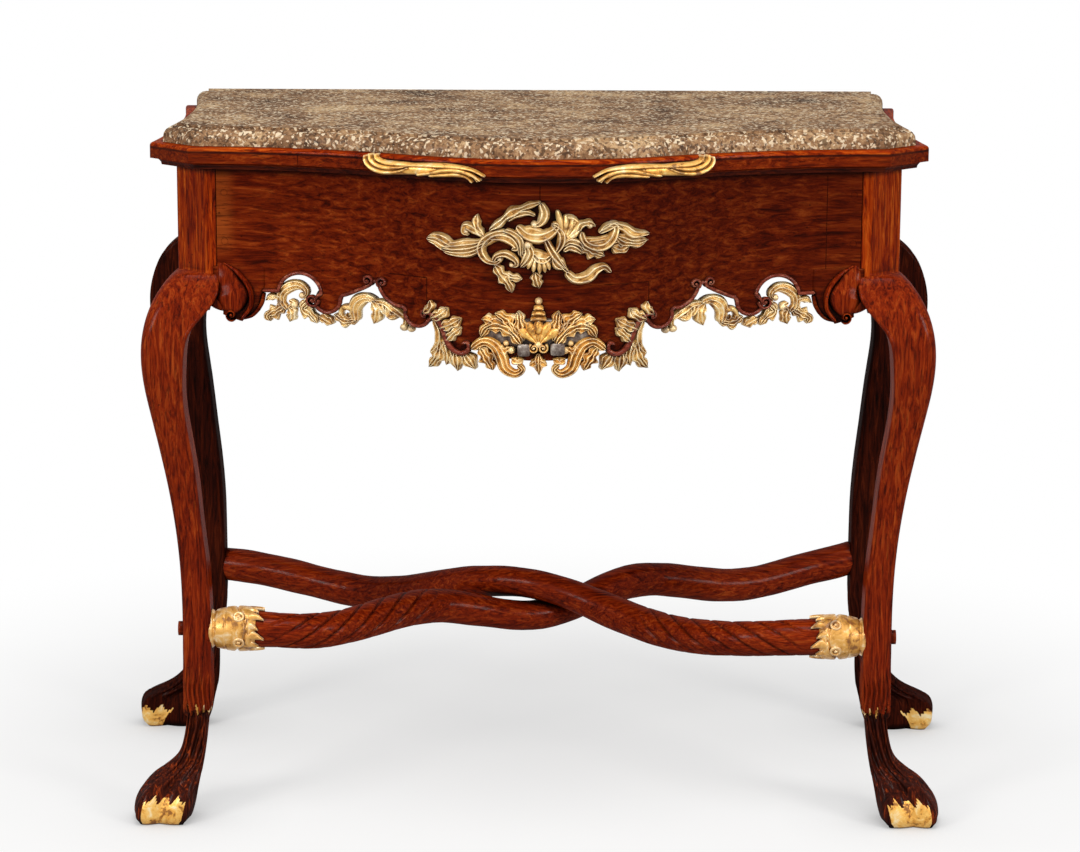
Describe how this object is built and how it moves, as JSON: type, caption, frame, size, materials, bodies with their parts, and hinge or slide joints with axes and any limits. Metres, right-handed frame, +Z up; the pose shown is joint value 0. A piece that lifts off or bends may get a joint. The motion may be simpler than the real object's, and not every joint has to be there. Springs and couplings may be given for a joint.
{
  "type": "side table",
  "caption": "Wall side table with cabriole legs, paw feet, crossing stretcher rails, a scrolled serpentine apron with gilt carving and a loose marble slab.",
  "frame": {"origin": "on the floor, under the middle of the table's box", "axes": "+X to the right along the front, +Y to the back, which stands against a wall, +Z up"},
  "size_m": [1.034, 0.532, 0.825],
  "materials": {
    "figured_wood": "polished red-brown hardwood",
    "giltwood": "worn water gilding on carved wood",
    "secondary_wood": "plain unpolished wood",
    "marble": "honed fossil marble"
  },
  "bodies": {
    "stand": {"apron_centre": "figured_wood", "apron_left": "figured_wood", "apron_left_drop_leaf": "giltwood", "apron_left_inner_leaf": "giltwood", "apron_left_outer_leaf": "giltwood", "apron_right": "figured_wood", "apron_right_drop_leaf": "giltwood", "apron_right_inner_leaf": "giltwood", "apron_right_outer_leaf": "giltwood", "apron_shell": "giltwood", "back_frieze": "secondary_wood", "frame_back_rail": "figured_wood", "frame_front_rail": "figured_wood", "frame_left_corner": "figured_wood", "frame_left_rail": "figured_wood", "frame_right_corner": "figured_wood", "frame_right_rail": "figured_wood", "frieze_cartouche": "giltwood", "frieze_pegs": "figured_wood", "front_frieze": "figured_wood", "front_left_block": "secondary_wood", "front_left_ear": "figured_wood", "front_left_leg": "figured_wood", "front_right_block": "secondary_wood", "front_right_ear": "figured_wood", "front_right_leg": "figured_wood", "left_bearer": "secondary_wood", "left_clasp": "giltwood", "left_frieze": "figured_wood", "left_mask": "giltwood", "left_stretcher": "figured_wood", "rear_left_block": "secondary_wood", "rear_left_leg": "figured_wood", "rear_right_block": "secondary_wood", "rear_right_leg": "figured_wood", "right_bearer": "secondary_wood", "right_clasp": "giltwood", "right_frieze": "figured_wood", "right_mask": "giltwood", "right_stretcher": "figured_wood", "side_front_left_ear": "figured_wood", "side_front_right_ear": "figured_wood", "side_rear_left_ear": "figured_wood", "side_rear_right_ear": "figured_wood"},
    "slab": {"marble_slab": "marble"}
  },
  "joints": [
    {"name": "slab_lift", "type": "slide", "parent": "stand", "child": "slab", "axis": [0, 0, 1], "range_m": [0, 0.08]}
  ]
}
